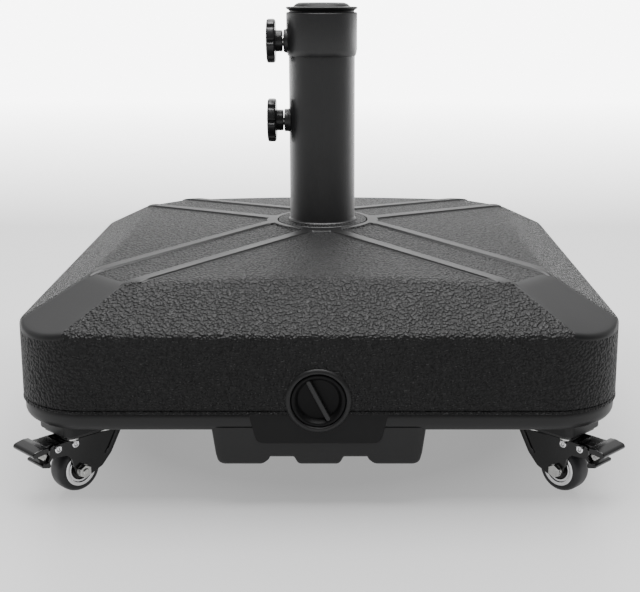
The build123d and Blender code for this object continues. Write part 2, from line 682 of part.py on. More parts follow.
with BuildPart() as fork_rivets:
    for x in (SHOE_PIVOT_X, PEDAL_PIVOT_X):
        with BuildSketch(Plane.XZ):
            with Locations((x, PIVOT_Z)):
                Circle(RIVET_R)
        extrude(amount=FORK_HALF + RIVET_HEAD / 2, both=True)
        for side in (-1, 1):
            with BuildSketch(Plane.XZ.offset(side * (FORK_HALF + RIVET_HEAD / 2))):
                with Locations((x, PIVOT_Z)):
                    Circle(RIVET_HEAD_R)
            extrude(amount=RIVET_HEAD / 2, both=True)

with BuildPart() as kingpin:
    add(turned([
        (0, FORK_TOP_Z - FORK_CROWN - KINGPIN_HEAD), (KINGPIN_HEAD_R - 1, FORK_TOP_Z - FORK_CROWN - KINGPIN_HEAD),
        (KINGPIN_HEAD_R, FORK_TOP_Z - FORK_CROWN - KINGPIN_HEAD + 1), (KINGPIN_HEAD_R, FORK_TOP_Z - FORK_CROWN),
        (KINGPIN_R, FORK_TOP_Z - FORK_CROWN), (KINGPIN_R, KINGPIN_TOP_Z), (0, KINGPIN_TOP_Z),
    ]))

with BuildPart() as axle_bolt:
    with BuildSketch(Plane.XZ):
        with Locations((TRAIL, WHEEL_R)):
            Circle(AXLE_R)
    extrude(amount=FORK_HALF + AXLE_NUT + 1, both=True)
    with BuildSketch(Plane.XZ.offset(FORK_HALF)):
        with Locations((TRAIL, WHEEL_R)):
            RegularPolygon(BOLT_FLATS / 2, 6, major_radius=False)
    extrude(amount=BOLT_HEAD)
    with BuildSketch(Plane.XZ.offset(-FORK_HALF)):
        with Locations((TRAIL, WHEEL_R)):
            RegularPolygon(BOLT_FLATS / 2, 6, major_radius=False)
    extrude(amount=-AXLE_NUT)
    with BuildSketch(Plane.XZ.offset(FORK_HALF + BOLT_HEAD)):
        with Locations((TRAIL, WHEEL_R)):
            Circle(2 * AXLE_R)
    extrude(amount=5, mode=Mode.SUBTRACT)

with BuildPart() as wheel_hub:
    with BuildSketch(Plane.XZ):
        with Locations((TRAIL, WHEEL_R)):
            Circle(HUB_R)
    extrude(amount=HUB_HALF, both=True)
    with BuildSketch(Plane.XZ):
        with Locations((TRAIL, WHEEL_R)):
            Circle(HUB_BOSS_R)
    extrude(amount=HUB_BOSS_HALF, both=True)
    with BuildSketch(Plane.XZ):
        with Locations((TRAIL, WHEEL_R)):
            Circle(AXLE_BORE_R)
    extrude(amount=HUB_BOSS_HALF, both=True, mode=Mode.SUBTRACT)

with BuildPart() as wheel_rings:
    for side in (-1, 1):
        with BuildSketch(Plane.XZ.offset(side * (HUB_HALF + RING_HALF) / 2)):
            with Locations((TRAIL, WHEEL_R)):
                Circle(HUB_R)
                Circle(RING_INNER_R, mode=Mode.SUBTRACT)
        extrude(amount=(RING_HALF - HUB_HALF) / 2, both=True)

with BuildPart() as tyre:
    with BuildSketch(Plane.XZ):
        with Locations((TRAIL, WHEEL_R)):
            Circle(WHEEL_R)
    extrude(amount=TYRE_HALF, both=True)
    fillet(tyre.edges().filter_by(GeomType.CIRCLE), 4.0)
    with BuildSketch(Plane.XZ):
        with Locations((TRAIL, WHEEL_R)):
            Circle(HUB_R)
    extrude(amount=TYRE_HALF, both=True, mode=Mode.SUBTRACT)

with BuildPart() as brake_pedal:
    add(across(PEDAL_SIDE, PEDAL_NECK_HALF))
    add(across(PEDAL_PAD, PEDAL_PAD_HALF))
    add(across(PEDAL_LIP, PEDAL_LIP_HALF))
    with BuildSketch(Plane.XZ):
        with Locations((PEDAL_PIVOT_X, PIVOT_Z)):
            Circle(RIVET_BORE_R)
    extrude(amount=PEDAL_PAD_HALF, both=True, mode=Mode.SUBTRACT)

with BuildPart() as brake_shoe:
    with BuildSketch(Plane.XZ):
        with BuildLine():
            pad = CenterArc((TRAIL, WHEEL_R), WHEEL_R + SHOE_GAP, SHOE_PAD_ARC[0],
                            SHOE_PAD_ARC[1] - SHOE_PAD_ARC[0])
            Polyline(pad @ 1, (20.5, 43.6), (28.0, 44.6), (33.5, 49.2), (37.2, 46.5), (36.6, 43.0), pad @ 0)
        make_face()
        with Locations((SHOE_PIVOT_X, PIVOT_Z)):
            Circle(SHOE_BARREL_R)
            Circle(RIVET_BORE_R, mode=Mode.SUBTRACT)
    extrude(amount=SHOE_HALF, both=True)

castor_pieces = {
    "fork": fork,
    "fork_rivets": fork_rivets,
    "kingpin": kingpin,
    "axle_bolt": axle_bolt,
    "wheel_hub": wheel_hub,
    "wheel_rings": wheel_rings,
    "tyre": tyre,
    "brake_pedal": brake_pedal,
    "brake_shoe": brake_shoe,
}
for name, piece in castor_pieces.items():
    for corner, place in castor_places().items():
        with BuildPart() as placed:
            add(piece.part.moved(place))
        save(placed, f"{name}_{corner}")

# ---------------------------------------------------------------- castor mountings
with BuildPart() as castor_plates:
    with BuildSketch(Plane.XY.offset(PLATE_BOTTOM_Z)):
        for place in castor_places().values():
            with Locations(place):
                RectangleRounded(PLATE_LENGTH, PLATE_WIDTH, 5)
                Circle(KINGPIN_BORE_R, mode=Mode.SUBTRACT)
                with GridLocations(2 * SCREW_X, 2 * SCREW_Y, 2, 2):
                    Circle(SCREW_R, mode=Mode.SUBTRACT)
    extrude(amount=PLATE_TOP_Z - PLATE_BOTTOM_Z)
save(castor_plates, "castor_plates")

with BuildPart() as swivel_races:
    with BuildSketch(Plane.XY.offset(RACE_BOTTOM_Z)):
        for place in castor_places().values():
            with Locations(place):
                Circle(RACE_R)
                Circle(KINGPIN_BORE_R, mode=Mode.SUBTRACT)
    extrude(amount=PLATE_BOTTOM_Z - RACE_BOTTOM_Z)
save(swivel_races, "swivel_races")

with BuildPart() as plate_screws:
    for radius, low, high in (
        (SCREW_HEAD_R, PLATE_BOTTOM_Z - SCREW_HEAD, PLATE_BOTTOM_Z),
        (SCREW_R, PLATE_BOTTOM_Z - 0.5, SCREW_TOP_Z),
    ):
        with BuildSketch(Plane.XY.offset(low)):
            for place in castor_places().values():
                with Locations(place):
                    with GridLocations(2 * SCREW_X, 2 * SCREW_Y, 2, 2):
                        Circle(radius)
        extrude(amount=high - low)
save(plate_screws, "plate_screws")
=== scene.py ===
"""Parasol base: the looks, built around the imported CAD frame. Lengths below are in millimetres."""
import math

import bmesh
import bpy
from mathutils import Matrix, Vector


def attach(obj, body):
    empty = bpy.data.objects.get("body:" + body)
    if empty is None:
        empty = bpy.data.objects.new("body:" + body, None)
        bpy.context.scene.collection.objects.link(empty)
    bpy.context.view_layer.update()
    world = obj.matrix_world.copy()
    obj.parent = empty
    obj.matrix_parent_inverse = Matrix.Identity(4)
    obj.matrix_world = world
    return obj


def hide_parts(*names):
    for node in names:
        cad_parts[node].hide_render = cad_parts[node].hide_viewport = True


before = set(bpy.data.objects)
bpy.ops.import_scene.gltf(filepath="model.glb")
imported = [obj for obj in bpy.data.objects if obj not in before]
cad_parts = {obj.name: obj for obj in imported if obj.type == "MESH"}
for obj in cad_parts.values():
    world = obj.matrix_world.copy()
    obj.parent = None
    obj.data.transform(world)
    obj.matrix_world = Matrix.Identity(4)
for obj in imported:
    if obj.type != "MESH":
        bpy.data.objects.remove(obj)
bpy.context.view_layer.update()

MM = 0.001
CORNERS = {"front_left": 225, "front_right": 315, "back_right": 45, "back_left": 135}

# sizes shared by several pieces
SEAM_Z = 82.2
WALL_TOP_Z = 147.4
WALL_TOP_HALF = 249.3
CORNER_R = 62.3
SLOPE = 0.547
FACET = 0.427
FACET_REACH = 320.0
RING_TOP_Z = 192.7
RIB_RAISE = 1.8
FALL = 0.0695
CREASE_R = 6.0
FILLER_Z = 94.0
SEAT_R = 44.0  # round seat of the tube's flange
RING_OUT_R = 56.0  # where the roof's columns start, outside the raised ring
KNOB_HEIGHTS = {"upper": 363.3, "lower": 288.9}
CASTOR_REACH = 266.0  # from the middle to each swivel axis
TRAIL = 27.5  # from the swivel axis to the wheel's
AXLE_Z = 20.0
RIVET_Z = 45.5


# ---------------------------------------------------------------- materials
class Nodes:
    """Small helper around one material's node tree."""

    def __init__(self, name):
        self.material = bpy.data.materials.new(name)
        self.material.use_nodes = True
        self.tree = self.material.node_tree
        self.shader = self.tree.nodes["Principled BSDF"]

    def add(self, kind, inputs=None, **settings):
        node = self.tree.nodes.new(kind)
        for key, value in settings.items():
            setattr(node, key, value)
        for key, value in (inputs or {}).items():
            if isinstance(value, bpy.types.NodeSocket):
                self.tree.links.new(value, node.inputs[key])
            else:
                node.inputs[key].default_value = value
        return node

    def link(self, output, socket):
        self.tree.links.new(output, socket)

    def position(self, scale=(1, 1, 1)):
        coordinates = self.add("ShaderNodeTexCoord")
        mapping = self.add("ShaderNodeMapping", {"Vector": coordinates.outputs["Object"], "Scale": scale})
        return mapping.outputs["Vector"]

    def ramp(self, factor, stops):
        node = self.add("ShaderNodeValToRGB", {"Fac": factor})
        ramp = node.color_ramp
        while len(ramp.elements) < len(stops):
            ramp.elements.new(0.5)
        for element, (place, value) in zip(ramp.elements, stops):
            element.position = place
            element.color = (*value, 1) if isinstance(value, tuple) else (value, value, value, 1)
        return node.outputs["Color"]

    def bump(self, height, strength, distance, normal=None):
        inputs = {"Height": height, "Strength": strength, "Distance": distance}
        if normal is not None:
            inputs["Normal"] = normal
        return self.add("ShaderNodeBump", inputs).outputs["Normal"]


def grained_plastic():
    """Moulded leather grain: rounded pebbles with valleys between them."""
    n = Nodes("moulded_grain")
    p = n.position()
    warp = n.add("ShaderNodeTexNoise", {"Vector": p, "Scale": 190.0, "Detail": 2.0})
    reach = (0.0032, 0.0032, 0.0032)
    shift = n.add("ShaderNodeVectorMath", {0: warp.outputs["Color"], 1: reach}, operation="MULTIPLY")
    warped = n.add("ShaderNodeVectorMath", {0: p, 1: shift.outputs[0]}, operation="ADD").outputs[0]
    cell_inputs = {"Vector": warped, "Scale": 400.0, "Smoothness": 0.5}
    cells = n.add("ShaderNodeTexVoronoi", cell_inputs, feature="SMOOTH_F1")
    pebbles = n.ramp(cells.outputs["Distance"], [(0.0, 1.0), (0.35, 0.8), (0.75, 0.0)])
    fine = n.add("ShaderNodeTexNoise", {"Vector": p, "Scale": 900.0, "Detail": 3.0})
    wear = n.add("ShaderNodeTexNoise", {"Vector": p, "Scale": 9.0, "Detail": 4.0, "Roughness": 0.6})
    n.link(n.ramp(wear.outputs["Fac"], [(0.3, (0.004, 0.004, 0.0042)), (0.7, (0.007, 0.007, 0.0072))]),
           n.shader.inputs["Base Color"])
    n.link(n.ramp(pebbles, [(0.0, 0.64), (1.0, 0.48)]), n.shader.inputs["Roughness"])
    normal = n.bump(fine.outputs["Fac"], 0.25, 0.00035)
    n.link(n.bump(pebbles, 1.0, 0.0014, normal), n.shader.inputs["Normal"])
    n.shader.inputs["Specular IOR Level"].default_value = 0.25
    return n.material


def satin_plastic(name, low, high, rough_low, rough_high, bump=0.15, scale=700.0, gloss=0.32):
    """Smooth moulded plastic with a faint orange peel and uneven gloss."""
    n = Nodes(name)
    p = n.position()
    fine = n.add("ShaderNodeTexNoise", {"Vector": p, "Scale": scale, "Detail": 3.0})
    broad = n.add("ShaderNodeTexNoise", {"Vector": p, "Scale": 14.0, "Detail": 5.0, "Roughness": 0.6})
    n.link(n.ramp(broad.outputs["Fac"], [(0.3, low), (0.7, high)]), n.shader.inputs["Base Color"])
    n.link(n.ramp(broad.outputs["Fac"], [(0.3, rough_low), (0.7, rough_high)]), n.shader.inputs["Roughness"])
    n.link(n.bump(fine.outputs["Fac"], bump, 0.0003), n.shader.inputs["Normal"])
    n.shader.inputs["Specular IOR Level"].default_value = gloss
    return n.material


def powder_coat():
    """Fine-textured powder coat on steel."""
    n = Nodes("powder_coat")
    p = n.position()
    grains = n.add("ShaderNodeTexNoise", {"Vector": p, "Scale": 1100.0, "Detail": 4.0, "Roughness": 0.7})
    lumps = n.add("ShaderNodeTexVoronoi", {"Vector": p, "Scale": 700.0})
    broad = n.add("ShaderNodeTexNoise", {"Vector": p, "Scale": 12.0, "Detail": 4.0})
    n.link(n.ramp(broad.outputs["Fac"], [(0.3, (0.010, 0.010, 0.0105)), (0.7, (0.014, 0.014, 0.0145))]),
           n.shader.inputs["Base Color"])
    n.link(n.ramp(grains.outputs["Fac"], [(0.35, 0.36), (0.65, 0.46)]), n.shader.inputs["Roughness"])
    normal = n.bump(lumps.outputs["Distance"], 0.15, 0.0003)
    n.link(n.bump(grains.outputs["Fac"], 0.18, 0.0003, normal), n.shader.inputs["Normal"])
    return n.material


def metal(name, low, high, rough_low, rough_high, scratch=0.08):
    """Plated steel with fine turning marks and smudged gloss."""
    n = Nodes(name)
    p = n.position()
    smudge = n.add("ShaderNodeTexNoise", {"Vector": p, "Scale": 90.0, "Detail": 5.0})
    fine = n.add("ShaderNodeTexNoise", {"Vector": p, "Scale": 1500.0, "Detail": 2.0})
    n.link(n.ramp(smudge.outputs["Fac"], [(0.3, low), (0.7, high)]), n.shader.inputs["Base Color"])
    n.link(n.ramp(smudge.outputs["Fac"], [(0.3, rough_low), (0.7, rough_high)]), n.shader.inputs["Roughness"])
    n.link(n.bump(fine.outputs["Fac"], scratch, 0.0002), n.shader.inputs["Normal"])
    n.shader.inputs["Metallic"].default_value = 1.0
    return n.material


GRAIN = grained_plastic()
SATIN = satin_plastic("moulded_satin", (0.006, 0.006, 0.0062), (0.010, 0.010, 0.0103), 0.40, 0.50)
COAT = powder_coat()
# Dark cap plastic with its gloss turned down: painted shade for the recessed filler dish. The pole reducer ring
# shares it.
SHADED_CAP = satin_plastic("cap_plastic", (0.004, 0.004, 0.0042), (0.006, 0.006, 0.0062), 0.40, 0.50, gloss=0.12)
# Darker, duller copy of the satin tank plastic for the apron under the filler: painted shade, standing for the
# shade under the filler's boss ring.
SHADED_APRON = satin_plastic("moulded_apron_painted_shade", (0.005, 0.005, 0.0052), (0.008, 0.008, 0.0082), 0.44, 0.52, gloss=0.18)
KNOB = satin_plastic("knob_plastic", (0.010, 0.010, 0.0105), (0.014, 0.014, 0.0145), 0.26, 0.36)
ENAMEL = satin_plastic("castor_enamel", (0.004, 0.004, 0.0042), (0.006, 0.006, 0.0063), 0.13, 0.21, 0.05,
                       gloss=0.5)
HUB = satin_plastic("hub_plastic", (0.012, 0.012, 0.0125), (0.018, 0.018, 0.0185), 0.20, 0.32, 0.05)
TREAD = satin_plastic("tyre_tread", (0.022, 0.022, 0.024), (0.032, 0.032, 0.034), 0.34, 0.48, 0.12)
RUBBER = satin_plastic("seal_rubber", (0.03, 0.03, 0.03), (0.045, 0.045, 0.045), 0.55, 0.7, 0.2)
CHROME = metal("bright_chrome", (0.78, 0.78, 0.79), (0.86, 0.86, 0.87), 0.06, 0.14, 0.03)
ZINC = metal("zinc_plate", (0.50, 0.50, 0.49), (0.66, 0.66, 0.64), 0.22, 0.36)


# ---------------------------------------------------------------- mesh helpers
def piece(name, verts, faces, body, slot, materials, which=None, at=None, angle=32, bevel=0.0, segments=2):
    """Makes a named mesh piece from millimetre points. at places it, which picks each face's material."""
    mesh = bpy.data.meshes.new(name)
    mesh.from_pydata([Vector(v) * MM for v in verts], [], faces)
    for material in materials:
        mesh.materials.append(material)
    if which:
        mesh.polygons.foreach_set("material_index", which)
    if at is not None:
        mesh.transform(at)
    tidy = bmesh.new()
    tidy.from_mesh(mesh)
    bmesh.ops.remove_doubles(tidy, verts=tidy.verts, dist=1e-6)
    bmesh.ops.recalc_face_normals(tidy, faces=tidy.faces)
    tidy.to_mesh(mesh)
    tidy.free()
    mesh.shade_smooth()
    mesh.set_sharp_from_angle(angle=math.radians(angle))
    obj = bpy.data.objects.new(name, mesh)
    bpy.context.scene.collection.objects.link(obj)
    if bevel:
        modifier = obj.modifiers.new("edges", "BEVEL")
        modifier.width = bevel * MM
        modifier.segments = segments
        modifier.limit_method = "ANGLE"
        modifier.angle_limit = math.radians(32)
        modifier.harden_normals = True
    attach(obj, body)
    return obj


def frame_at(origin, along, up=(0, 0, 1)):
    """Matrix whose local Z runs along a direction, from an origin in millimetres."""
    z = Vector(along).normalized()
    x = Vector(up).cross(z)
    x = x.normalized() if x.length > 1e-6 else Vector((1, 0, 0))
    y = z.cross(x)
    turn = Matrix((x, y, z)).transposed().to_4x4()
    return Matrix.Translation(Vector(origin) * MM) @ turn


def lathe(profile, count=96, wobble=None):
    """Verts and faces turned around local Z from (radius, height) points; wobble changes radius by angle."""
    verts, faces, rows = [], [], []
    for radius, height in profile:
        if radius < 1e-6:
            rows.append([len(verts)] * count)
            verts.append((0, 0, height))
            continue
        row = []
        for i in range(count):
            a = 2 * math.pi * i / count
            r = radius * (wobble(a, radius, height) if wobble else 1)
            row.append(len(verts))
            verts.append((r * math.cos(a), r * math.sin(a), height))
        rows.append(row)
    for low, high in zip(rows, rows[1:]):
        for i in range(count):
            j = (i + 1) % count
            corners = []
            for index in (low[i], low[j], high[j], high[i]):
                if index not in corners:
                    corners.append(index)
            if len(corners) > 2:
                faces.append(tuple(corners))
    return verts, faces


def prism(outline, low, high):
    """Verts and faces of a closed outline in local XY between two heights."""
    count = len(outline)
    verts = [(x, y, low) for x, y in outline] + [(x, y, high) for x, y in outline]
    faces = [tuple(range(count)), tuple(range(count, 2 * count))]
    faces += [(i, (i + 1) % count, count + (i + 1) % count, count + i) for i in range(count)]
    return verts, faces


def merge(*shapes):
    """Joins several (verts, faces) into one."""
    verts, faces = [], []
    for shape_verts, shape_faces in shapes:
        base = len(verts)
        verts += shape_verts
        faces += [tuple(base + i for i in face) for face in shape_faces]
    return verts, faces


def placed(shape, matrix):
    """The shape moved by a matrix whose shift is in metres."""
    verts, faces = shape
    return [tuple((matrix @ (Vector(v) * MM)) / MM) for v in verts], faces


def rounded(points, radii, steps=6):
    """A polygon with its corners rounded."""
    result = []
    count = len(points)
    for i, point in enumerate(points):
        p = Vector(point)
        radius = radii[i] if isinstance(radii, (list, tuple)) else radii
        before = (Vector(points[i - 1]) - p)
        after = (Vector(points[(i + 1) % count]) - p)
        if radius <= 0:
            result.append(tuple(p))
            continue
        a, b = before.normalized(), after.normalized()
        half = math.acos(max(-1, min(1, a.dot(b)))) / 2
        reach = min(radius / math.tan(half), before.length * 0.49, after.length * 0.49)
        radius = reach * math.tan(half)
        centre = p + (a + b).normalized() * radius / math.sin(half)
        start, end = p + a * reach - centre, p + b * reach - centre
        sweep = start.angle_signed(end)
        for k in range(steps + 1):
            turned = start.copy()
            turned.rotate(Matrix.Rotation(-sweep * k / steps, 2))
            result.append(tuple(centre + turned))
    return result


def arc(cx, cy, radius, start, end, steps):
    """Points on an arc, angles in degrees."""
    return [(cx + radius * math.cos(math.radians(start + (end - start) * i / steps)),
             cy + radius * math.sin(math.radians(start + (end - start) * i / steps))) for i in range(steps + 1)]


# ---------------------------------------------------------------- tank, upper shell
def smooth_min(a, b, k):
    """Smaller of two heights, with a soft crease of reach k."""
    h = max(k - abs(a - b), 0.0) / k
    return min(a, b) - h * h * k / 4


def plateau_z(x, y):
    """Height of the roof's top, which falls away from the seat."""
    return RING_TOP_Z - FALL * max(math.hypot(x, y) - SEAT_R, 0.0)


def sides_z(x, y):
    """Height of the roof's sloping sides."""
    slope = WALL_TOP_Z + SLOPE * (WALL_TOP_HALF - max(abs(x), abs(y)))
    facet = WALL_TOP_Z + FACET * (FACET_REACH - (abs(x) + abs(y)) / math.sqrt(2))
    return smooth_min(slope, facet, 1.6)


def step(a, b, t):
    """Smooth step from 0 at a to 1 at b."""
    t = max(0.0, min(1.0, (t - a) / (b - a)))
    return t * t * (3 - 2 * t)


def outline_point(x, y, half, corner):
    """Where the ray from the middle through (x, y) meets a rounded square, and the outward normal there."""
    direction = Vector((x, y)).normalized()
    low, high = 0.0, 2 * half
    for _ in range(40):
        middle = (low + high) / 2
        qx = max(abs(direction.x) * middle - (half - corner), 0.0)
        qy = max(abs(direction.y) * middle - (half - corner), 0.0)
        inside = math.hypot(qx, qy) < corner
        low, high = (middle, high) if inside else (low, middle)
    point = direction * low
    qx = max(abs(point.x) - (half - corner), 0.0)
    qy = max(abs(point.y) - (half - corner), 0.0)
    normal = Vector((math.copysign(qx, point.x), math.copysign(qy, point.y))).normalized()
    return point, normal


def crease_point(x, y):
    """Where the ray from the middle through (x, y) leaves the plateau."""
    direction = Vector((x, y)).normalized()
    low, high = 60.0, 330.0
    for _ in range(40):
        middle = (low + high) / 2
        q = direction * middle
        low, high = (middle, high) if plateau_z(q.x, q.y) - RIB_RAISE < sides_z(q.x, q.y) else (low, middle)
    return direction * low


RIB_IN, RIB_OUT = 22.4, 32.6
RIB_EDGE = 0.9


def rib_profile(v):
    """How far up the rib's side a point at lateral distance v is, 0 to 1."""
    v = abs(v)
    rise = step(RIB_IN - RIB_EDGE, RIB_IN + RIB_EDGE * 0.4, v)
    return rise * (1 - step(RIB_OUT - RIB_EDGE * 0.4, RIB_OUT + RIB_EDGE, v))


def roof_columns():
    """Columns from the ring to the wall: start, crease, wall point, lateral distance and kind."""
    laterals = [0, 5, 10, 15, 19, 21.2, 21.7, 22.4, 22.9, 24.3,
                25.2, 26.1, 28, 30, 31.8, 32.4, 33.0, 33.6, 34.4]
    laterals = [-v for v in laterals[:0:-1]] + laterals
    columns = []
    for quadrant in range(4):
        a = math.radians(45 + 90 * quadrant)
        u_dir, v_dir = Vector((math.cos(a), math.sin(a))), Vector((-math.sin(a), math.cos(a)))
        for v in laterals:
            start = u_dir * math.sqrt(RING_OUT_R**2 - v * v) + v_dir * v
            low, high = 100.0, 330.0
            for _ in range(40):
                u = (low + high) / 2
                q = u_dir * u + v_dir * v
                on_top = plateau_z(q.x, q.y) - RIB_RAISE < sides_z(q.x, q.y)
                low, high = (u, high) if on_top else (low, u)
            crease = u_dir * low + v_dir * v
            w = v * (1 + 0.26 * min(1.0, 25.2 / max(abs(v), 1)))
            wall_ray = u_dir * math.sqrt(324.0**2 - w * w) + v_dir * w
            columns.append((start, crease, wall_ray, v, "rib"))
        last = columns[-1]
        axis = Vector((math.cos(a + math.pi / 4), math.sin(a + math.pi / 4)))
        across = Vector((-axis.y, axis.x))
        span = [last[k].dot(across) / last[k].dot(axis) for k in range(3)]
        coarse = [1 - i / 27 for i in range(1, 24)]
        if quadrant == 2:
            fine = [0.14 - 0.28 * i / 38 for i in range(39)]
        else:
            fine = [0.1, 0.0, -0.1]
        for t in coarse + fine + [-c for c in coarse[::-1]]:
            start = (axis + across * span[0] * t).normalized() * RING_OUT_R
            crease = crease_point(*(axis + across * span[1] * t))
            columns.append((start, crease, axis + across * span[2] * t, 99.0, "panel"))
    return columns


def tank_upper():
    """The shell, column by column from the ring down to the parting line, and each face's material."""
    columns = roof_columns()
    verts, grid, info = [], [], []
    for start, crease, wall_ray, v, kind in columns:
        wall, normal = outline_point(wall_ray.x, wall_ray.y, WALL_TOP_HALF, CORNER_R)
        column, tags = [], []

        def put(x, y, z, tag):
            """Adds the next point of this column."""
            column.append(len(verts))
            tags.append(tag)
            verts.append((x, y, z))

        base = start.normalized()
        lateral = abs(v)
        channel = kind == "rib" and lateral < 21.9
        for r in (SEAT_R, 44.25, 44.8, 46.5, 48.6, 49.4, 50.2, 51.0, 52.5, 54.2, 54.9, 55.6):
            point = base * r
            if channel:
                raised = 1 - step(49.0, 50.6, r)
            elif kind == "panel":
                raised = 1 - step(54.0, 55.4, r)
            else:
                raised = max(1 - step(54.0, 55.4, r), rib_profile(v))
            drop = 0.5 * (1 - step(SEAT_R, 44.8, r))
            z = plateau_z(*point) - RIB_RAISE * (1 - raised) - drop
            put(point.x, point.y, z, "ring" if r < 50.0 or (not channel and r < 55.0) else "plateau")
        raised = 0.0 if kind == "panel" else rib_profile(v)
        for i in range(34):
            point = start.lerp(crease, i / 33 * 0.985)
            z = smooth_min(plateau_z(*point) - RIB_RAISE * (1 - raised), sides_z(*point) + 0.6 * raised, 3.0)
            put(point.x, point.y, z, "plateau")
        inner_wall = wall - normal * (CREASE_R * (1 - math.cos(math.radians(61))))
        for i in range(1, 27):
            t = (i / 27) ** 1.35
            point = crease.lerp(inner_wall, 0.002 + 0.998 * t)
            fade = 1 - step(0.0, 0.05, t)
            rib = raised * fade
            plateau = plateau_z(*point) - RIB_RAISE * (1 - rib)
            z = smooth_min(plateau, sides_z(*point) + 0.6 * raised * fade, 3.0)
            put(point.x, point.y, z, "slope")
        near, far = wall - normal * 3.0, wall - normal * 9.0
        rise = (sides_z(*far) - sides_z(*near)) / 6.0
        wall_z = sides_z(*near) - 3.0 * rise
        centre_z = wall_z + rise * CREASE_R - CREASE_R * math.sqrt(1 + rise * rise)
        top = math.atan2(1, rise)
        for i in range(7):
            phi = top * (1 - i / 6)
            inset = CREASE_R * (1 - math.cos(phi))
            point = wall - normal * inset
            put(point.x, point.y, centre_z + CREASE_R * math.sin(phi), "edge")
        heights = [centre_z - (centre_z - 87.0) * i / 30 for i in range(1, 31)]
        heights += [86.0, 85.4, 84.9, 84.4, 83.6, 82.9, 82.5, 82.2]
        for z in heights:
            out = 0.7 * (centre_z - z) / (centre_z - SEAM_Z)
            if 84.7 < z < 85.6:
                out -= 0.7
            if z < 83.0:
                out += 0.35
            point = wall + normal * out
            x, y = point.x, point.y
            if y < -240:
                reach = math.hypot(x, z - FILLER_Z)
                y += 12.0 * (1 - step(23.4, 25.2, reach))
            put(x, y, z, "wall")
        grid.append(column)
        info.append((tags, v, kind))
    faces, which = [], []
    count = len(columns)
    for i in range(count):
        j = (i + 1) % count
        for k in range(len(grid[i]) - 1):
            faces.append((grid[i][k], grid[j][k], grid[j][k + 1], grid[i][k + 1]))
            tag = info[i][0][k + 1]
            middle = (abs(info[i][1]) + abs(info[j][1])) / 2
            if tag == "ring":
                smooth = True
            elif tag == "plateau":
                smooth = RIB_IN - 0.8 < middle < RIB_OUT + 0.8
            elif tag in ("slope", "edge"):
                smooth = middle < 25.2
            else:
                smooth = False
            which.append(1 if smooth else 0)
    return verts, faces, which


verts, faces, which = tank_upper()
shell = piece("tank_upper_shell", verts, faces, "tank", "moulded_tank", [GRAIN, SATIN], which, angle=50)

FRONT = (0, -1, 0)
filler = frame_at((0, -238.0, FILLER_Z), FRONT)
boss = lathe([(22.5, -22), (19.2, -22), (19.2, 3.8), (22.4, 3.8), (22.4, 12.0), (22.7, 12.7), (23.4, 13.2),
              (24.3, 13.3), (25.3, 12.9), (26.1, 12.2), (26.8, 11.4), (26.8, 0), (22.5, 0), (22.5, -22)], 128)
boss_ring = piece("filler_boss", *boss, "tank", "moulded_tank", [SATIN], at=filler, angle=50)
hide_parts("filler_spout")

notch = arc(0, FILLER_Z, 25.0, -28.2, -151.8, 40)
left = [(-56.2, SEAM_Z + 0.3), (-51.0, 61.5), (-49.4, 58.9), (-46.4, 57.4), (-43.0, 57.2)]
outline = notch[::-1] + [(-x, z) for x, z in left] + left[::-1]
apron_at = filler @ Matrix.Translation((0, -FILLER_Z * MM, 0))
apron = prism(outline, -6.0, 11.1)
# The apron takes the darkened copy of the satin plastic, as painted shade.
piece("filler_apron", *apron, "tank", "moulded_tank", [SHADED_APRON], at=apron_at, bevel=0.9, segments=3)
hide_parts("tank_upper")

# filler cap, with the bar to turn it by
cap = lathe([(0, 7.6), (15.6, 7.6), (16.4, 7.8), (17.0, 8.4), (18.9, 12.0), (19.5, 12.5), (20.3, 12.7),
             (21.2, 12.6), (21.8, 12.2), (22.0, 11.6), (22.0, 5.6), (18.9, 5.6), (18.9, -6.6), (18.5, -7.0),
             (15.5, -7.0), (15.5, 5.0), (0, 5.0)], 128)
# The cap body takes the low-gloss cap plastic, whose darkness is partly painted shade of the recess.
cap_piece = piece("filler_cap_body", *cap, "cap", "cap_plastic", [SHADED_CAP], at=filler, angle=40)
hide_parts("filler_cap")
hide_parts("cap_rim")
bar = rounded([(-19, -2.0), (19, -2.0), (19, 2.0), (-19, 2.0)], 1.9, 5)
turn = Matrix.Rotation(math.radians(116.8), 4, "Z")
shape = prism(bar, 7.2, 12.5)
# The grip takes the lighter, glossier knob plastic instead of the cap plastic: a painted highlight against the
# dark cap.
highlight_grip = piece("filler_cap_grip", *shape, "cap", "cap_plastic", [KNOB], at=filler @ turn, bevel=0.9, segments=3)
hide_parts("cap_bar")


# ---------------------------------------------------------------- tank, lower shell
def square_stack(levels, steps=14):
    """Rounded squares given as (half, corner radius, height), with a recess for the filler in front.

    The last one is closed.
    """
    verts, faces = [], []
    count = 4 * (steps + 1) + 4
    for half, corner, z in levels:
        ring = rounded([(-half, -half), (half, -half), (half, half), (-half, half)], corner, steps)
        back = -min(half, 234.0)
        recess = [(-49.4, -half), (-49.0, back), (49.0, back), (49.4, -half)]
        verts += [(x, y, z) for x, y in ring[:steps + 1] + recess + ring[steps + 1:]]
    for k in range(len(levels) - 1):
        for i in range(count):
            j = (i + 1) % count
            faces.append((k * count + i, k * count + j, (k + 1) * count + j, (k + 1) * count + i))
    faces.append(tuple(range((len(levels) - 1) * count, len(levels) * count)))
    return verts, faces


levels = [(244.0, 56.0, 82.0), (248.2, 60.2, 82.0), (248.5, 60.5, 81.6), (248.5, 60.5, 78.0)]
for i in range(9):
    phi = math.radians(90 * i / 8)
    inset = 8.5 * (1 - math.cos(phi))
    levels.append((248.5 - inset, 60.5 - inset, 74.9 - 8.5 * math.sin(phi)))
levels += [(232.0, 44.0, 66.4), (230.5, 42.5, 66.6), (229.0, 41.0, 67.6)]
pan = piece("tank_lower_pan", *square_stack(levels), "tank", "moulded_tank", [SATIN], angle=45)
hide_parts("tank_lower")

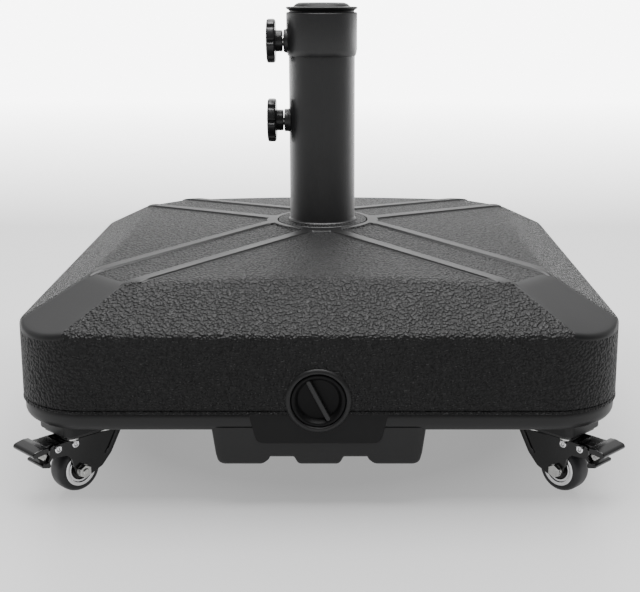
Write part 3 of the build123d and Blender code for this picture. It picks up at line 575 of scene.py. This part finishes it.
side = [(-87.5, 70.5), (-84.2, 46.0), (-82.0, 37.4), (-46.0, 37.4), (-42.5, 43.7), (-20.5, 43.7), (-17.0, 37.4)]
rounds = [0, 12, 11, 4.5, 2.2, 2.2, 4.5]
keel_outline = rounded(side + [(-x, z) for x, z in side[::-1]], rounds + rounds[::-1], 6)
keel_verts, keel_faces = [], []
layers = [(186.5, 5.0), (187.2, 2.6), (189.5, 0.8), (193, 0), (240, 0),
          (243.0, 0.5), (245.4, 1.9), (246.9, 3.9), (247.7, 6.0), (248.0, 8.6)]
for reach, e in layers:
    for x, z in keel_outline:
        lift = 0.5 * e * max(0.0, min(1.0, (60 - z) / 14))
        keel_verts.append((x * (85 - e) / 85, -reach, z + lift))
count = len(keel_outline)
for k in range(len(layers) - 1):
    for i in range(count):
        j = (i + 1) % count
        keel_faces.append((k * count + i, k * count + j, (k + 1) * count + j, (k + 1) * count + i))
keel_faces += [tuple(range(count)), tuple(range((len(layers) - 1) * count, len(layers) * count))]
for name, turn in (("front", 0), ("right", 90), ("back", 180), ("left", 270)):
    keel = piece(f"keel_{name}", keel_verts, keel_faces, "tank", "moulded_tank", [SATIN],
                 at=Matrix.Rotation(math.radians(turn), 4, "Z"), angle=40)
    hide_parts("tank_keels")

foot = lathe([(5.5, 55.0), (36.0, 55.0), (37.2, 55.4), (37.6, 56.6), (38.4, 66.0), (41.0, 67.2), (42.0, 67.8),
              (0, 67.9)], 96)
foot_piece = piece("socket_foot", *foot, "tank", "moulded_tank", [SATIN], angle=40)
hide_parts("tube_socket")

# ---------------------------------------------------------------- stand tube and its top
tube = lathe([(31.4, 62), (31.4, 188.7), (42.6, 188.7), (43.0, 189.1), (43.0, 192.2), (42.6, 192.6),
              (33.4, 192.7), (32.9, 193.3), (32.1, 193.7), (31.5, 194.4), (31.4, 195.2), (31.4, 389.4),
              (31.0, 389.8), (29.8, 389.8), (29.4, 389.4), (29.4, 62), (31.4, 62)], 128)
# the top of the flange takes the second material, the grain
first_corners = [tube[0][face[0]] for face in tube[1]]
tube_which = [1 if 42.8 > math.hypot(x, y) > 33.2 and z > 190 else 0 for x, y, z in first_corners]
tube_piece = piece("stand_tube_coated", *tube, "tank", "powder_coat", [COAT, GRAIN], tube_which, angle=40)
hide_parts("stand_tube")
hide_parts("tube_flange")

collar = lathe([(31.45, 349.9), (31.9, 349.7), (32.3, 350.1), (33.3, 354.3), (33.5, 355.3), (33.5, 388.3),
                (33.3, 389.1), (32.8, 389.6), (32.1, 389.8), (31.45, 389.7), (31.45, 349.9)], 128)
collar_piece = piece("tube_collar_sleeve", *collar, "tank", "powder_coat", [COAT], angle=50)
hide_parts("tube_collar")

bosses = []
for height, root in ((KNOB_HEIGHTS["upper"], 31.9), (KNOB_HEIGHTS["lower"], 29.8)):
    shape = lathe([(5.05, root), (11.6, root), (11.2, root + 1.9), (10.8, root + 2.6), (10.7, 35.4),
                   (10.1, 36.0), (5.6, 36.0), (5.05, 35.5), (5.05, root)], 64)
    bosses.append(placed(shape, frame_at((0, 0, height), (-1, 0, 0))))
boss_piece = piece("knob_boss_pair", *merge(*bosses), "tank", "powder_coat", [COAT], angle=40)
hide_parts("knob_bosses")

reducer = lathe([(19.25, 371), (28.3, 371), (29.1, 373), (29.1, 390.1), (30.6, 390.1), (30.7, 391.2),
                 (32.6, 392.3), (33.5, 393.1), (33.7, 393.8), (33.5, 394.4), (33.0, 394.6), (27.6, 394.8),
                 (26.8, 395.0), (26.3, 395.5), (24.6, 397.1), (22.6, 398.0), (20.9, 398.4), (19.8, 398.2),
                 (19.25, 397.6), (19.25, 371)], 128)
# The reducer ring takes the cap plastic, whose low gloss is painted shade.
reducer_piece = piece("pole_reducer_ring", *reducer, "reducer", "reducer_plastic", [SHADED_CAP], angle=34)
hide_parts("pole_reducer")


def lobes(a, radius, height):
    """Eight finger grooves around the knob's edge."""
    return 1 - 0.10 * max(0.0, math.cos(8 * a)) ** 4 if radius > 16 else 1


for name, height in KNOB_HEIGHTS.items():
    shape = lathe([(0, 36.95), (9.0, 36.95), (9.7, 37.3), (10.0, 38.0), (10.0, 42.6), (10.6, 43.5),
                   (11.6, 43.7), (18.4, 43.7), (19.7, 44.1), (20.4, 45.0), (20.6, 46.0), (20.6, 50.0),
                   (20.3, 51.1), (19.4, 51.8), (18.0, 52.0), (16.2, 51.9), (15.2, 51.3),
                   (9.0, 51.0), (8.2, 51.5), (0, 51.6)], 192, lobes)
    knob = piece(f"clamp_knob_{name}", *shape, f"{name}_knob", "knob_plastic", [KNOB],
                 at=frame_at((0, 0, height), (-1, 0, 0)), angle=40)
    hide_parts(f"knob_{name}")

# ---------------------------------------------------------------- castors
def hexagon(flats):
    """Corners of a hexagon from its width across flats."""
    return arc(0, 0, flats / math.sqrt(3), 30, 330, 5)


SIDE = [(-12.3, 49.4), (-12.3, 46.0), (-9.6, 41.5), (-1.5, 28.0), (8.0, 18.5), (19.0, 14.2), (29.0, 13.4),
        (33.8, 17.5), (37.0, 31.5), (41.0, 37.0), (56.0, 38.4), (58.0, 42.0), (57.4, 47.0), (53.0, 49.4)]
side_outline = rounded(SIDE, [0.5, 2, 8, 8, 8, 8, 6, 6, 5, 5, 2.5, 3, 3, 3], 5)
across_castor = Matrix(((1, 0, 0, 0), (0, 0, -1, 0), (0, 1, 0, 0), (0, 0, 0, 1)))


def side_prism(outline, low, high):
    """A closed (x, z) outline in a castor's frame, between two distances across it."""
    return placed(prism(outline, -high, -low), across_castor)


def nose():
    """Curved front wall of the fork."""
    line = [(-12.3, 49.0), (-12.25, 46.4), (-11.2, 44.2), (-9.6, 41.5), (-6.0, 35.5), (-3.0, 30.5), (0.4, 26.2)]
    verts, faces = [], []
    across = [-12.0 + 24.0 * i / 16 for i in range(17)]
    for x, z in line:
        for y in across:
            back = 5.5 * (abs(y) / 12.0) ** 4
            verts.append((x + back - 0.2, y, z + 0.6 * back * (1 if z < 48 else 0)))
    for k in range(len(line) - 1):
        for i in range(16):
            a = k * 17 + i
            faces.append((a, a + 1, a + 18, a + 17))
    return verts, faces


def turned_piece(profile, x, z, count=64):
    """A lathed shape whose axis runs across the castor at (x, z); heights are distances towards local -Y."""
    return placed(lathe(profile, count), Matrix.Translation((x * MM, 0, z * MM)) @ across_castor)


def hex_piece(x, z, low, high):
    """A hexagon head or nut lying across the castor."""
    flats = prism(hexagon(10.0), low, high)
    return placed(flats, Matrix.Translation((x * MM, 0, z * MM)) @ across_castor)


def add_pad(corner, at):
    """The tank's pad above a castor."""
    shape = prism(rounded([(-47, -23), (47, -23), (47, 23), (-47, 23)], 7, 6), 55.7, 66.8)
    look = ("tank", "moulded_tank", [SATIN])
    pad_block = piece(f"castor_pad_{corner}", *shape, *look, at=at, bevel=1.2, segments=3)
    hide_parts("tank_keels")


def add_fork(corner, at):
    """Pressed fork: two cheeks, the curved nose and the crown."""
    look = (f"castor_{corner}", "castor_enamel", [ENAMEL])
    cheeks = merge(side_prism(side_outline, 10.2, 12.2), side_prism(side_outline, -12.2, -10.2))
    fork = piece(f"fork_cheeks_{corner}", *cheeks, *look, at=at, bevel=0.5, segments=3)
    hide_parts(f"fork_{corner}")
    front = piece(f"fork_nose_{corner}", *nose(), *look, at=at, angle=60)
    sheet = front.modifiers.new("sheet", "SOLIDIFY")
    sheet.thickness = 1.8 * MM
    sheet.offset = -1
    crown_outline = arc(0, 0, 12.2, 270, 90, 24) + [(17.0, 12.2), (17.0, -12.2)]
    piece(f"fork_crown_{corner}", *prism(crown_outline, 47.4, 49.6), *look, at=at, bevel=0.7, segments=3)


def add_rivets(corner, at):
    """Two round rivet heads on each cheek."""
    head = [(0, 12.5), (1.1, 12.6), (1.35, 13.4), (1.9, 13.9), (2.6, 13.9), (3.15, 13.5), (3.35, 12.8),
            (3.35, 12.1), (2.3, 12.1), (2.3, 0)]
    shapes = []
    for x in (33.5, 50.0):
        for s in (1, -1):
            shapes.append(turned_piece([(r, s * h) for r, h in head], x, RIVET_Z, 40))
    rivet = piece(f"rivets_{corner}", *merge(*shapes), f"castor_{corner}", "chrome_steel", [CHROME], at=at)
    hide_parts(f"fork_rivets_{corner}")


def add_axle(corner, at):
    """The wheel's axle with its head, nut and washers."""
    shank = [(0, -18.2), (2.4, -18.2), (3.0, -17.6), (3.0, 12.4), (5.6, 12.2), (5.6, 12.8), (4.9, 12.9)]
    bolt = merge(
        turned_piece(shank, TRAIL, AXLE_Z),
        hex_piece(TRAIL, AXLE_Z, 12.8, 16.2),
        hex_piece(TRAIL, AXLE_Z, -17.0, -12.8),
        turned_piece([(5.6, -12.2), (5.6, -12.8), (3.0, -12.9)], TRAIL, AXLE_Z),
    )
    look = (f"castor_{corner}", "zinc_steel", [ZINC])
    bolt_piece = piece(f"axle_bolt_set_{corner}", *bolt, *look, at=at, bevel=0.5, segments=3)
    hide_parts(f"axle_bolt_{corner}")


def add_wheel(corner, at):
    """Tyre, hub disc and the chrome ring on each face."""
    body = f"wheel_{corner}"
    half = [(13.4, 8.9), (13.8, 9.0), (16.6, 8.9), (18.0, 8.4),
            (19.1, 7.2), (19.75, 5.4), (20.0, 3.0), (20.0, 0)]
    tread = half + [(r, -h) for r, h in half[-2::-1]] + [half[0]]
    shape = turned_piece(tread, TRAIL, AXLE_Z, 96)
    tyre = piece(f"tyre_tread_{corner}", *shape, body, "tyre", [TREAD], at=at, angle=40)
    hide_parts(f"tyre_{corner}")
    half = [(3.05, 9.7), (5.4, 9.7), (5.9, 9.4), (6.0, 8.9), (6.2, 8.3), (7.6, 8.2), (7.8, 7.7), (8.4, 7.7),
            (8.6, 8.2), (9.7, 8.2), (9.9, 7.8), (10.5, 7.8), (10.7, 8.2), (13.4, 8.3)]
    profile = half + [(r, -h) for r, h in half[::-1]] + [half[0]]
    shape = turned_piece(profile, TRAIL, AXLE_Z, 96)
    hub = piece(f"hub_disc_{corner}", *shape, body, "hub_plastic", [HUB], at=at, angle=40)
    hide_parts(f"wheel_hub_{corner}")
    ring = [(9.0, 8.1), (9.2, 8.8), (9.8, 9.0), (10.4, 8.8), (10.5, 8.3), (10.9, 8.3), (11.1, 9.2),
            (11.6, 9.5), (13.8, 9.5), (14.3, 9.3), (14.4, 8.9), (13.4, 8.2), (9.0, 8.1)]
    rings = [turned_piece([(r, s * h) for r, h in ring], TRAIL, AXLE_Z, 96) for s in (1, -1)]
    shape = merge(*rings)
    ring_piece = piece(f"chrome_ring_{corner}", *shape, body, "chrome_steel", [CHROME], at=at, angle=50)
    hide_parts(f"wheel_rings_{corner}")


def add_pedal(corner, at):
    """Brake pedal: tread pad and lip, the neck on its hinge, and the leaf spring."""
    body = f"pedal_{corner}"
    look = (body, "castor_enamel", [ENAMEL])
    pad_outline = rounded([(60.4, 50.6), (66.0, 51.0), (73.6, 49.4), (75.4, 46.9), (73.8, 44.5), (60.4, 46.2)],
                          [0.8, 6, 3, 1.8, 1.5, 0.8], 5)
    neck_outline = rounded([(45.0, 42.0), (44.5, 48.4), (47.0, 50.0), (61.0, 50.6), (61.0, 46.6), (57.5, 44.5),
                            (56.0, 39.0), (58.6, 35.5), (57.6, 33.0), (54.0, 37.0), (50.0, 40.6)],
                           [1.5, 2, 1, 0.5, 0.5, 2, 3, 1, 1, 2, 2], 4)
    lip_outline = rounded([(57.3, 35.2), (56.8, 32.0), (58.2, 30.6), (65.0, 32.6), (65.4, 35.2), (59.0, 36.4)],
                          [1, 0.8, 1.2, 1.2, 1.2, 1.5], 4)
    slabs = merge(side_prism(pad_outline, -16, 16), side_prism(lip_outline, -12, 12))
    pad_piece = piece(f"pedal_pads_{corner}", *slabs, *look, at=at, bevel=1.1, segments=3)
    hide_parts(f"brake_pedal_{corner}")
    piece(f"pedal_neck_{corner}", *side_prism(neck_outline, -9.7, 9.7), *look, at=at, bevel=0.6, segments=3)
    leaf = rounded([(58.4, 45.0), (57.0, 40.0), (59.6, 36.0), (61.0, 36.4), (58.8, 40.2), (60.2, 44.8)], 0.5, 3)
    piece(f"pedal_leaf_{corner}", *side_prism(leaf, -7, 7), body, "zinc_steel", [ZINC], at=at, bevel=0.25)


for corner, angle in CORNERS.items():
    a = math.radians(angle)
    reach = CASTOR_REACH * MM
    at = Matrix.Translation((reach * math.cos(a), reach * math.sin(a), 0)) @ Matrix.Rotation(a, 4, "Z")
    for add in (add_pad, add_fork, add_rivets, add_axle, add_wheel, add_pedal):
        add(corner, at)


# ---------------------------------------------------------------- CAD nodes that stay, with their finishes
def finish_node(node, material):
    """Gives a CAD node its material."""
    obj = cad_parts[node]
    obj.data.materials.clear()
    obj.data.materials.append(material)


for node in ("tie_bolt", "tie_washer", "plate_screws", "stud_upper", "stud_lower"):
    finish_node(node, ZINC)
finish_node("tube_anchor", COAT)
finish_node("castor_plates", ENAMEL)
finish_node("swivel_races", ZINC)
finish_node("filler_gasket", RUBBER)
for corner in CORNERS:
    finish_node(f"kingpin_{corner}", ZINC)
    finish_node(f"brake_shoe_{corner}", ENAMEL)

# ---------------------------------------------------------------- floor, light and camera
floor_material = Nodes("studio_floor")
floor_material.shader.inputs["Base Color"].default_value = (0.24, 0.24, 0.242, 1)
floor_material.shader.inputs["Roughness"].default_value = 0.3
floor_material.shader.inputs["Emission Color"].default_value = (1, 1, 1, 1)
# Painted light on the floor: its emission is lowest under the base, as a painted shadow, and grows outwards and
# behind, so the floor glows though it is no lamp.
spot = floor_material.position()
reach = floor_material.add("ShaderNodeVectorMath", {0: spot}, operation="LENGTH")
around = {"Value": reach.outputs["Value"], "From Min": 0.2, "From Max": 0.5, "To Min": 0.39, "To Max": 0.95}
near = floor_material.add("ShaderNodeMapRange", around)
axes = floor_material.add("ShaderNodeSeparateXYZ", {"Vector": spot})
behind = {"Value": axes.outputs["Y"], "From Min": 0.9, "From Max": 3.2, "To Min": 0.0, "To Max": 6.0}
far = floor_material.add("ShaderNodeMapRange", behind)
both = {0: near.outputs["Result"], 1: far.outputs["Result"]}
painted_floor_glow = floor_material.add("ShaderNodeMath", both, operation="ADD")
floor_material.link(painted_floor_glow.outputs[0], floor_material.shader.inputs["Emission Strength"])
mesh = bpy.data.meshes.new("floor")
floor_corners = [(-30, -12, 0), (30, -12, 0), (30, 60, 0), (-30, 60, 0)]  # metres, mostly behind the object
mesh.from_pydata(floor_corners, [], [(0, 1, 2, 3)])
mesh.materials.append(floor_material.material)
floor = bpy.data.objects.new("floor", mesh)
bpy.context.scene.collection.objects.link(floor)

world = bpy.data.worlds.new("studio")
bpy.context.scene.world = world
world.use_nodes = True
sky = world.node_tree
direction = sky.nodes.new("ShaderNodeTexCoord")
parts = sky.nodes.new("ShaderNodeSeparateXYZ")
shift = sky.nodes.new("ShaderNodeMapRange")
shades = sky.nodes.new("ShaderNodeValToRGB")
sky.links.new(direction.outputs["Generated"], parts.inputs[0])
sky.links.new(parts.outputs["Y"], shift.inputs["Value"])
shift.inputs["From Min"].default_value = -1.0
shades.color_ramp.interpolation = "EASE"
SKY_STOPS = ((0.40, 0.10), (0.58, 0.45), (0.72, 0.75), (0.85, 0.95), (1.0, 1.2))  # dim in front, bright behind
for place in (0.5, 0.6, 0.7):
    shades.color_ramp.elements.new(place)
for element, (place, value) in zip(shades.color_ramp.elements, SKY_STOPS):
    element.position = place
    element.color = (value, value, value, 1)
sky.links.new(shift.outputs["Result"], shades.inputs["Fac"])
sky.links.new(shades.outputs["Color"], sky.nodes["Background"].inputs["Color"])


def softbox(name, place, target, size, energy):
    """A rectangular area light looking at a point. Metres and watts."""
    light = bpy.data.lights.new(name, "AREA")
    light.shape = "RECTANGLE"
    light.size, light.size_y = size
    light.energy = energy
    obj = bpy.data.objects.new(name, light)
    obj.location = place
    obj.rotation_euler = (Vector(target) - Vector(place)).to_track_quat("-Z", "Y").to_euler()
    bpy.context.scene.collection.objects.link(obj)


softbox("back_light", (0, 1.7, 1.3), (0, 0, 0.15), (1.1, 1.0), 12)
softbox("top_light", (0, 0, 2.4), (0, 0, 0), (2.0, 2.0), 175)

camera = bpy.data.cameras.new("camera")
camera.sensor_width = 36
camera.lens = 65.28
camera.shift_x = -0.03125
obj = bpy.data.objects.new("camera", camera)
obj.location = (0.0172, -1.1214, 0.4138)
obj.rotation_euler = (math.radians(90 - 14.98), 0, 0)
bpy.context.scene.collection.objects.link(obj)
bpy.context.scene.camera = obj
